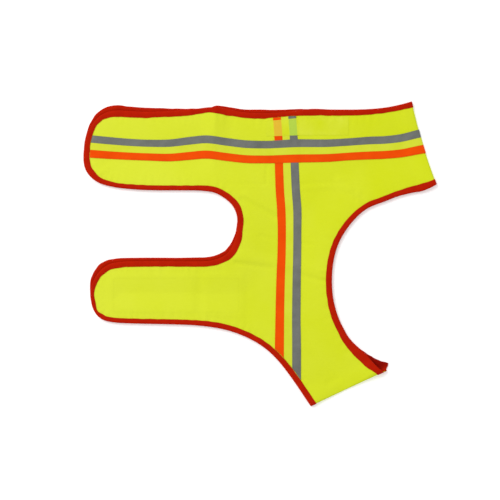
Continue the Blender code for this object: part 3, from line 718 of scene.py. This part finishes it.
# The girth length is followed to the back seam over this last stretch, in these steps
SEAM_SEARCH, SEARCH_STEP = 36.0, 0.5
STRIPES = (
    # name, width
    ("silver", 10.7),
    ("yellow", 10.2),
    ("orange", 11.1),
)
GIRTH_LINE = (
    # x, y, breadth
    (-240.5, 149.8, 31.8),
    (-210.0, 147.4, 30.6),
    (-154.0, 144.4, 29.4),
    (-126.0, 144.2, 30.8),
    (-98.0, 147.0, 32.3),
    (-77.0, 148.8, 32.6),
    (-48.0, 145.6, 32.3),
    (-21.0, 142.5, 31.9),
    (7.0, 141.8, 31.4),
    (50.0, 143.4, 32.6),
    (98.0, 144.0, 31.4),
    (126.0, 145.8, 30.8),
    (154.0, 147.5, 31.8),
    (175.0, 148.3, 31.8),
    (196.0, 150.5, 32.6),
    (228.5, 157.4, 35.0),
)
DOWN_LINE = (
    # y, x, breadth
    (-190.0, 39.2, 36.5),
    (-121.5, 39.3, 36.2),
    (-93.5, 39.4, 35.2),
    (-65.5, 39.8, 34.8),
    (-37.5, 40.3, 34.2),
    (4.5, 41.4, 33.1),
    (32.5, 41.6, 33.0),
    (60.5, 41.2, 34.1),
    (88.5, 39.2, 34.0),
    (116.5, 38.0, 33.5),
    (162.5, 36.6, 32.4),
    (198.0, 33.8, 32.4),
)


def through(rows, column):
    """Function of the first column that passes smoothly through another."""
    at, value = np.array(rows)[:, (0, column)].T
    slope = np.gradient(value, at)

    def follow(t):
        t = np.asarray(t, float)
        i = np.clip(np.searchsorted(at, t) - 1, 0, len(at) - 2)
        span = at[i + 1] - at[i]
        u = (t - at[i]) / span
        rise = (2 * u**3 - 3 * u**2 + 1) * value[i] + (3 * u**2 - 2 * u**3) * value[i + 1]
        return rise + span * ((u**3 - 2 * u**2 + u) * slope[i] + (u**3 - u**2) * slope[i + 1])

    return follow


girth_y, girth_breadth = through(GIRTH_LINE, 1), through(GIRTH_LINE, 2)
down_x, down_breadth = through(DOWN_LINE, 1), through(DOWN_LINE, 2)
WIDTHS = [width for _, width in STRIPES]
RIBBON = sum(WIDTHS)


def over_down_ribbon(xy):
    """1 over the down ribbon, 0 beside it, and a short rise between."""
    away = np.abs(xy[:, 0] - down_x(xy[:, 1])) - down_breadth(xy[:, 1]) / 2
    return 1 - ramp(0, CROSSING_SLOPE, away)


def girth_path(half, offset):
    """Plan points of a line at this share of the girth ribbon's breadth, from its tip to the seam."""
    def line(x):
        return girth_y(x) + offset * girth_breadth(x)

    start = HEM_EDGE.crossings(half, RIBBON_END, lambda p: p[:, 1] - line(p[:, 0]))[-1]
    x = np.arange(BACK_SEAM.start[0] - SEAM_SEARCH, BACK_SEAM.start[0], SEARCH_STEP)
    along, inward = BACK_SEAM.place(np.column_stack((x, line(x))))
    at_seam = float(np.interp(0.0, inward[::-1], along[::-1]))
    radius = roll_radius(BACK_SEAM, [at_seam])[0]
    depths = [radius * (1 - math.cos(math.radians(angle))) for angle in ROLL_ANGLES[::-1]]
    rolled = [BACK_SEAM.point(at_seam, tone_and_side_light) for tone_and_side_light in depths]
    count = round((BACK_SEAM.start[0] - OUTLINES[half][:, 0].min()) / RIBBON_STEP)
    xs = np.linspace(start[0], rolled[0][0], count)[:-1]
    return np.vstack((np.column_stack((xs, line(xs))), rolled))


def down_path(half, offset, top=None, bottom=None):
    """Plan points of a line at this share of the down ribbon's breadth, between the hems or two heights."""
    def line(y):
        return down_x(y) + offset * down_breadth(y)

    ends = HEM_EDGE.crossings(half, RIBBON_END, lambda p: p[:, 0] - line(p[:, 1]))
    top, bottom = top or ends[0][1], bottom or ends[-1][1]
    ys = np.linspace(top, bottom, round((OUTLINES[half][:, 1].max() - HEM[-2][1]) / RIBBON_STEP))
    return np.column_stack((line(ys), ys))


def stripe_insets(width):
    """Distances across a stripe at which its mesh has a line, closer at both selvedges."""
    edge = np.array(SELVEDGE_LINES)
    return np.concatenate((edge, [width / 2], width - edge[::-1]))


def sew_strip(name, half, paths, lifts, places, thickness, finish, slot, *nodes):
    """Strip on a half of the vest, from plan lines that all have the same count of points."""
    count = len(paths[0])
    points = np.vstack([lay(half, path, lift) for path, lift in zip(paths, lifts)])
    faces = [
        (j * count + i, j * count + i + 1, (j + 1) * count + i + 1, (j + 1) * count + i)
        for j in range(len(paths) - 1)
        for i in range(count - 1)
    ]
    made = shell(name, points, faces, np.vstack(places), thickness, finish)
    if nodes:
        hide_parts(*nodes)
    return made


def run_length(path):
    return np.append(0, np.cumsum(np.linalg.norm(np.diff(path, axis=0), axis=1)))


def flat_places(paths, insets):
    """Where the points of a strip lie on the flat ribbon: along it, and across it at each path's inset."""
    return [np.column_stack((run_length(p), np.full(len(p), inset))) for p, inset in zip(paths, insets)]


def woven_ribbon(name, dark, bright):
    """Finish of a stripe of coloured yarn: fine ribs across the ribbon, and paler where it is worn."""
    made, shader, place, along, across = new_finish(name, {"Specular IOR Level": 0.03})
    ribs = along.wave(0.5)
    yarn = across.wave(0.8)
    worn = mottle(place, 22.0)
    shading = worn * 0.8 + ribs * 0.06 + mottle(place, 1.2) * 0.2
    relief = ribs * 0.4 + ribs * yarn * 0.3 + worn * 2.0
    feed(shader, {
        "Base Color": shading.between(0.25, 0.8).mixed(dark, bright),
        "Roughness": worn * 0.2 + 0.5,
        "Normal": relief.bump(0.35),
    })
    return made


ribbon_yellow = woven_ribbon("ribbon_yellow", dark=(0.575, 0.628, 0.022), bright=(0.635, 0.685, 0.048))
ribbon_orange = woven_ribbon("ribbon_orange", dark=(0.74, 0.056, 0.0004), bright=(0.83, 0.080, 0.001))

# Silver ribbon: glass beads on grey cloth. Its base colour has small patches of tone, painted sheen of its
# creases in large patches, and painted glints, with one brightness for each cell of beads.
ribbon_silver, shader, place, along, across = new_finish(
    "ribbon_silver", {"Metallic": 0.35, "Specular IOR Level": 0.15}
)
beads = place.node("ShaderNodeTexVoronoi", {"feature": "F1"}, {"Vector": place, "Scale": 5.0})
glints = place.node("ShaderNodeTexVoronoi", {"feature": "F1"}, {"Vector": place, "Scale": 2.2}, output=1)
sparkle = glints.node("ShaderNodeSeparateColor", {}, {0: glints})
small_patches = mottle(place, 12.0, 4.0)
crease_sheen = mottle(place, 36.0)
ribs = along.wave(1.1)
shading = small_patches * 0.5 + crease_sheen * 0.5 + sparkle * 0.2 + ribs * 0.05 - 0.1
feed(shader, {
    "Base Color": shading.between(0.2, 0.8).mixed((0.112, 0.119, 0.106), (0.192, 0.200, 0.184)),
    "Roughness": small_patches * 0.2 + sparkle * 0.1 + 0.36,
    "Normal": (beads * 0.4 + small_patches * 1.2 + ribs * 0.3).bump(0.3),
})
RIBBON_FINISH = {"silver": ribbon_silver, "yellow": ribbon_yellow, "orange": ribbon_orange}

edges_across = np.concatenate(([0.0], np.cumsum(WIDTHS)))
for k, (stripe, width) in enumerate(STRIPES):
    finish = RIBBON_FINISH[stripe]
    insets = edges_across[k] + stripe_insets(width)
    paths = [girth_path("near", 0.5 - inset / RIBBON) for inset in insets]
    lifts = [RIBBON_LIFT + CROSSING_LIFT * over_down_ribbon(path) for path in paths]
    near_pieces.append(sew_strip(
        f"girth_ribbon_{stripe}_stripe", "near", paths, lifts, flat_places(paths, insets), RIBBON_THICK,
        finish, f"ribbon_{stripe}", f"girth_ribbon_{stripe}",
    ))
    paths = [down_path("near", 0.5 - inset / RIBBON) for inset in insets[::-1]]
    lifts = [np.full(len(path), RIBBON_LIFT) for path in paths]
    near_pieces.append(sew_strip(
        f"down_ribbon_{stripe}_stripe", "near", paths, lifts, flat_places(paths, insets), RIBBON_THICK,
        finish, f"ribbon_{stripe}", f"down_ribbon_{stripe}",
    ))

# Ribbon under the far half.
# The vest is the same on both sides, so the far half carries the same two lengths on its outer face.
# They are pressed flat between the cloth and the surface, where the girth length hides part of the other.
UNDER_THICK = 0.14
UNDER_CLEAR = 0.02
UNDER_LIFT = -(CLOTH / 2 + UNDER_CLEAR + UNDER_THICK / 2)
UNDER_GAP = 0.3
UNDER_SAG = 0.25
# Height of the girth ribbon's middle where the down ribbon passes under it
CROSSING = 143.4
crossing_y, crossing_half = girth_y(down_x(CROSSING)), girth_breadth(down_x(CROSSING)) / 2
above_crossing = crossing_y + crossing_half + UNDER_GAP
below_crossing = crossing_y - crossing_half - UNDER_GAP
for k, (stripe, width) in enumerate(STRIPES):
    insets = edges_across[k] + stripe_insets(width)
    shares = 0.5 - insets / RIBBON
    for length, paths in (
        ("girth", [girth_path("far", share) for share in shares]),
        ("down_top", [down_path("far", share, bottom=above_crossing) for share in shares]),
        ("down", [down_path("far", share, top=below_crossing) for share in shares]),
    ):
        lifts = [UNDER_LIFT - UNDER_SAG * ramp(0, 2 * UNDER_SAG, level("far", p) - FAR_FLAT) for p in paths]
        far_pieces.append(sew_strip(
            f"far_{length}_ribbon_{stripe}", "far", paths, lifts, flat_places(paths, insets), UNDER_THICK,
            RIBBON_FINISH[stripe], f"ribbon_{stripe}",
        ))

# Cover strip.
# A thin, slightly sheer strip of yellow cloth is sewn over the top of the down ribbon and on towards
# the head. The ribbon's orange and silver show through it as pale bands.
COVER_THICK = 0.16
COVER_GAP = 0.03
COVER_RIM = (0.0, 0.12, 0.5)
COVER_STEP = 2.0
COVER_TOP = (
    # x, y
    (9.0, 185.2),
    (24.0, 186.4),
    (46.0, 188.6),
    (75.0, 190.4),
    (124.0, 190.8),
)
COVER_BOTTOM = (
    # x, y
    (9.0, 164.0),
    (24.0, 164.2),
    (46.0, 165.0),
    (75.0, 165.4),
    (124.0, 165.4),
)
BAND_BLUR = 0.4
ORANGE_BELOW = (0.72, 0.45, 0.032)
SILVER_BELOW = (0.42, 0.60, 0.062)
cover_sheer, shader, place, along, across = new_finish("cover_sheer", {
    "Roughness": 0.7, "Sheen Weight": 0.05, "Sheen Roughness": 0.4, "Specular IOR Level": 0.08
})


def band(inset, width):
    """1 from 0 to a stripe's width in from the ribbon's selvedge, and 0 beside it."""
    past = inset.between(width - BAND_BLUR, width + BAND_BLUR)
    return inset.between(-BAND_BLUR, BAND_BLUR) * (1 - past)


over_orange = band(along + RIBBON / 2, WIDTHS[2])
over_silver = band(RIBBON / 2 - along, WIDTHS[0])
weave = along.wave(WEAVE) * across.wave(WEAVE)
plain = mottle(place, 30.0).between(0.25, 0.75).mixed(YELLOW_DEEP, YELLOW_PALE)
feed(shader, {
    "Base Color": over_silver.mixed(over_orange.mixed(plain, ORANGE_BELOW), SILVER_BELOW),
    "Normal": weave.bump(0.3),
})


def cover_lift(path):
    """Height of the cover strip's middle over the middle of the cloth, close on the cloth or the ribbon."""
    on_cloth, on_ribbon = CLOTH / 2, RIBBON_LIFT + RIBBON_THICK / 2
    return COVER_GAP + COVER_THICK / 2 + on_cloth + (on_ribbon - on_cloth) * over_down_ribbon(path)


def rimmed(start, end):
    """Even places from start to end, and some that are close to both."""
    between = np.linspace(start + COVER_STEP, end - COVER_STEP, round((end - start) / COVER_STEP))
    return np.concatenate((start + np.array(COVER_RIM), between, end - np.array(COVER_RIM[::-1])))


cover_xs = rimmed(COVER_TOP[0][0], COVER_TOP[-1][0])
cover_top, cover_bottom = (through(rows, 1)(cover_xs) for rows in (COVER_TOP, COVER_BOTTOM))
cover_width = COVER_TOP[0][1] - COVER_BOTTOM[0][1]
paths, lifts, places = [], [], []
for t in rimmed(0.0, cover_width) / cover_width:
    path = np.column_stack((cover_xs, cover_top + (cover_bottom - cover_top) * t))
    paths.append(path)
    lifts.append(cover_lift(path))
    from_middle = (cover_xs - down_x(path[:, 1])) * RIBBON / down_breadth(path[:, 1])
    places.append(np.column_stack((from_middle, path[:, 1])))
near_pieces.append(sew_strip(
    "cover_strip_cloth", "near", paths, lifts, places, COVER_THICK, cover_sheer,
    "cloth_yellow", "cover_strip",
))

# Hook strip.
# Hook tape is sewn to the inner face of the lower arm, where it closes round the dog's chest. Between
# the halves only its stitching and a slight rise in the cloth show.
HOOK_THICK = 0.5
HOOK_GAP = 0.1
HOOK_LIFT = -(CLOTH / 2 + HOOK_GAP + HOOK_THICK / 2)
HOOK_COLUMNS, HOOK_ROWS = 72, 22
hook_tape, shader, place, along, across = new_finish("hook_tape", {"Roughness": 0.8})
hooks = along.wave(1.3) * across.wave(1.1)
feed(shader, {
    "Base Color": hooks.between(-1, 1).mixed((0.50, 0.56, 0.05), (0.66, 0.72, 0.14)),
    "Normal": hooks.bump(0.8, 0.0006),
})
hook_xs = np.linspace(HOOK_LEFT, HOOK_RIGHT, HOOK_COLUMNS)
hook_ys = np.linspace(HOOK_TOP, HOOK_BOTTOM, HOOK_ROWS)
paths = [np.column_stack((hook_xs, np.full(HOOK_COLUMNS, y))) for y in hook_ys]
lifts = [np.full(len(path), HOOK_LIFT) for path in paths]
near_pieces.append(sew_strip(
    "hook_strip_tape", "near", paths, lifts, paths, HOOK_THICK, hook_tape, "hook_tape", "hook_strip"
))

# Sewing.
# Lockstitch in polyester thread: red on the bindings, the stripe's own colour at the ribbon's two
# selvedges, and yellow on the cover strip and round the hook strip. Each stitch dips in at both ends.
STITCH_PITCH = 3.0
STITCH_SHARE = 0.8
THREAD_RADIUS = 0.14
PATH_STEP = 2.0
STITCH_RINGS = (
    # share of the stitch's length, height over the cloth, share of the thread's radius
    (0.0, -0.12, 0.45),
    (0.18, 0.02, 0.95),
    (0.5, 0.06, 1.0),
    (0.82, 0.02, 0.95),
    (1.0, -0.12, 0.45),
)
STITCH_SIDES = 6
THREAD_FACE = 0.2


def thread_finish(name, dark, bright):
    """Finish of a twisted thread, with painted shade between its strands."""
    made, shader, place, along, across = new_finish(
        name, {"Sheen Weight": 0.05, "Roughness": 0.5, "Specular IOR Level": 0.2}
    )
    twist = (along + across * 0.4).wave(0.5)
    feed(shader, {
        "Base Color": twist.between(-1, 1).mixed(dark, bright),
        "Normal": twist.bump(0.5, 0.0001),
    })
    return made


def sew(name, half, runs, finish):
    """Stitches along runs of plan points, each with its height over the middle of the cloth."""
    points, places = [], []
    for path, lift in runs:
        lift = np.broadcast_to(lift, len(path))
        low, high = lay(half, path, lift), lay(half, path, lift + 1)
        s = run_length(low)
        count = int(s[-1] / STITCH_PITCH)
        if not count:
            continue
        starts = (np.arange(count) + (1 - STITCH_SHARE) / 2) * s[-1] / count
        span = STITCH_SHARE * s[-1] / count
        for start in starts:
            middle = [np.interp(start + span / 2, s, (high - low)[:, k]) for k in range(3)]
            out = np.array(middle) / np.linalg.norm(middle)
            ends = [[np.interp(start + t * span, s, low[:, k]) for k in range(3)] for t in (0, 1)]
            way = np.subtract(ends[1], ends[0])
            aside = np.cross(way, out)
            aside /= np.linalg.norm(aside)
            for share, height, size in STITCH_RINGS:
                at = np.array([np.interp(start + share * span, s, low[:, k]) for k in range(3)])
                for side in range(STITCH_SIDES):
                    turn = math.tau * side / STITCH_SIDES
                    radius = THREAD_RADIUS * size
                    up = height + radius * math.sin(turn)
                    points.append(at + out * up + aside * radius * math.cos(turn))
                    places.append((start + share * span, side * THREAD_FACE))
    ring, rings = STITCH_SIDES, len(STITCH_RINGS)
    faces = []
    for first in range(0, len(points), ring * rings):
        faces.append([first + k for k in range(ring)])
        faces.append([first + ring * (rings - 1) + k for k in reversed(range(ring))])
        for r in range(rings - 1):
            a, b = first + r * ring, first + (r + 1) * ring
            faces += [(a + k, b + k, b + (k + 1) % ring, a + (k + 1) % ring) for k in range(ring)]
    made = shell(name, points, faces, places, 0.0, finish)
    made.modifiers.clear()
    return made


thread_red = thread_finish("thread_red", dark=(0.30, 0.004, 0.001), bright=(0.48, 0.012, 0.002))
thread_yellow = thread_finish("thread_yellow", dark=(0.58, 0.65, 0.010), bright=(0.70, 0.76, 0.030))
thread_silver = thread_finish("thread_silver", dark=(0.12, 0.125, 0.11), bright=(0.22, 0.23, 0.21))
thread_orange = thread_finish("thread_orange", dark=(0.66, 0.044, 0.001), bright=(0.84, 0.080, 0.002))

BINDING_STITCH, BINDING_STITCH_OUT = TAPE_SECTION[2]
BINDING_STITCH_END = 4.0
STITCH_SUNK = 0.02
tape_top = BINDING_STITCH_OUT + TAPE / 2 - STITCH_SUNK
for half, pieces, sides in (("near", near_pieces, (1,)), ("far", far_pieces, (1, -1))):
    runs = []
    for edge in EDGES:
        s = np.linspace(BINDING_STITCH_END, edge.length - BINDING_STITCH_END, round(edge.length / PATH_STEP))
        inset = BINDING_STITCH * edge.binding_reach(s, half)
        runs += [(edge.at(s, inset, half), side * tape_top) for side in sides]
    pieces.append(sew(f"{half}_binding_stitches", half, runs, thread_red))

SELVEDGE_STITCH = 1.1
STITCH_CLEAR = 1.0
ribbon_top = RIBBON_LIFT + RIBBON_THICK / 2
above = crossing_y + crossing_half + STITCH_CLEAR
below = crossing_y - crossing_half - STITCH_CLEAR
for stripe, inset, thread in (
    ("silver", SELVEDGE_STITCH, thread_silver),
    ("orange", RIBBON - SELVEDGE_STITCH, thread_orange),
):
    share = 0.5 - inset / RIBBON
    girth = girth_path("near", share)
    runs = [
        (girth, ribbon_top + CROSSING_LIFT * over_down_ribbon(girth)),
        (down_path("near", share, bottom=above), ribbon_top),
        (down_path("near", share, top=below), ribbon_top),
    ]
    near_pieces.append(sew(f"{stripe}_stitches", "near", runs, thread))

COVER_STITCH = 1.5
runs = []
for edge, way in ((cover_top, -COVER_STITCH), (cover_bottom, COVER_STITCH)):
    path = np.column_stack((cover_xs, edge + way))[1:-1]
    runs.append((path, cover_lift(path) + COVER_THICK / 2))
near_pieces.append(sew("cover_stitches", "near", runs, thread_yellow))

HOOK_STITCH = 2.0
left, right = HOOK_LEFT + HOOK_STITCH, HOOK_RIGHT - HOOK_STITCH
bottom, top = HOOK_BOTTOM + HOOK_STITCH, HOOK_TOP - HOOK_STITCH
corners = ((left, top), (right, top), (right, bottom), (left, bottom), (left, top))
runs = []
for a, b in zip(corners, corners[1:]):
    runs.append((np.linspace(a, b, round(math.dist(a, b) / PATH_STEP)), CLOTH / 2))
near_pieces.append(sew("hook_stitches", "near", runs, thread_yellow))

# The sheets.
# Each half was cut flat from the roll. Its size is the box of its outline.
for half, cloth, under, pieces in (
    ("near", near_cloth, far_cloth.name, near_pieces),
    ("far", far_cloth, "floor", far_pieces),
):
    outline = OUTLINES[half] * MM
    width, length = outline.max(axis=0) - outline.min(axis=0)
    x, y = outline.T

# Floor, light and camera.
# A plain pale floor, a large soft light from the upper left and an even sky. The camera looks straight
# down from high above, so that the vest fills the picture as in the photograph.
FLOOR = 4.0
WHITE = (1.0, 1.0, 1.0, 1.0)
SKY_STRENGTH = 0.76
LAMP_SIZE, LAMP_ENERGY = 2.4, 90.0
LAMP_PLACE = (-1.9, 1.9, 3.0)
floor_finish, shader, place, along, across = new_finish("floor", {
    "Roughness": 0.9, "Specular IOR Level": 0.1, "Emission Color": WHITE, "Emission Strength": 0.2
})
feed(shader, {"Base Color": mottle(place, 0.4).mixed((0.92, 0.92, 0.92), (0.94, 0.94, 0.94))})
floor_mesh = bpy.data.meshes.new("floor")
floor_corners = [(x * FLOOR, y * FLOOR, 0) for x, y in ((-1, -1), (1, -1), (1, 1), (-1, 1))]
floor_mesh.from_pydata(floor_corners, [], [(0, 1, 2, 3)])
floor_mesh.uv_layers.new(name="flat_cloth")
floor_mesh.materials.append(floor_finish)
floor = bpy.data.objects.new("floor", floor_mesh)
bpy.context.scene.collection.objects.link(floor)

sky = bpy.data.worlds.new("sky")
sky.use_nodes = True
sky.node_tree.nodes["Background"].inputs["Color"].default_value = WHITE
sky.node_tree.nodes["Background"].inputs["Strength"].default_value = SKY_STRENGTH
bpy.context.scene.world = sky

lamp = bpy.data.lights.new("soft_light", "AREA")
lamp.size = LAMP_SIZE
lamp.energy = LAMP_ENERGY
soft_light = bpy.data.objects.new("soft_light", lamp)
soft_light.location = LAMP_PLACE
soft_light.rotation_euler = (-soft_light.location).to_track_quat("-Z", "Y").to_euler()
bpy.context.scene.collection.objects.link(soft_light)

# Middle of the photograph in the plan, and its width, in metres
PICTURE_MIDDLE = (-0.01442, 0.00529)
PICTURE_WIDTH = 0.7005
lens = bpy.data.cameras.new("camera")
lens.lens = 100.0
lens.sensor_width = 36.0
camera = bpy.data.objects.new("camera", lens)
camera.location = (*PICTURE_MIDDLE, PICTURE_WIDTH * lens.lens / lens.sensor_width + NEAR_BOUND * MM)
bpy.context.scene.collection.objects.link(camera)
bpy.context.scene.camera = camera
bpy.context.scene.view_settings.view_transform = "Standard"
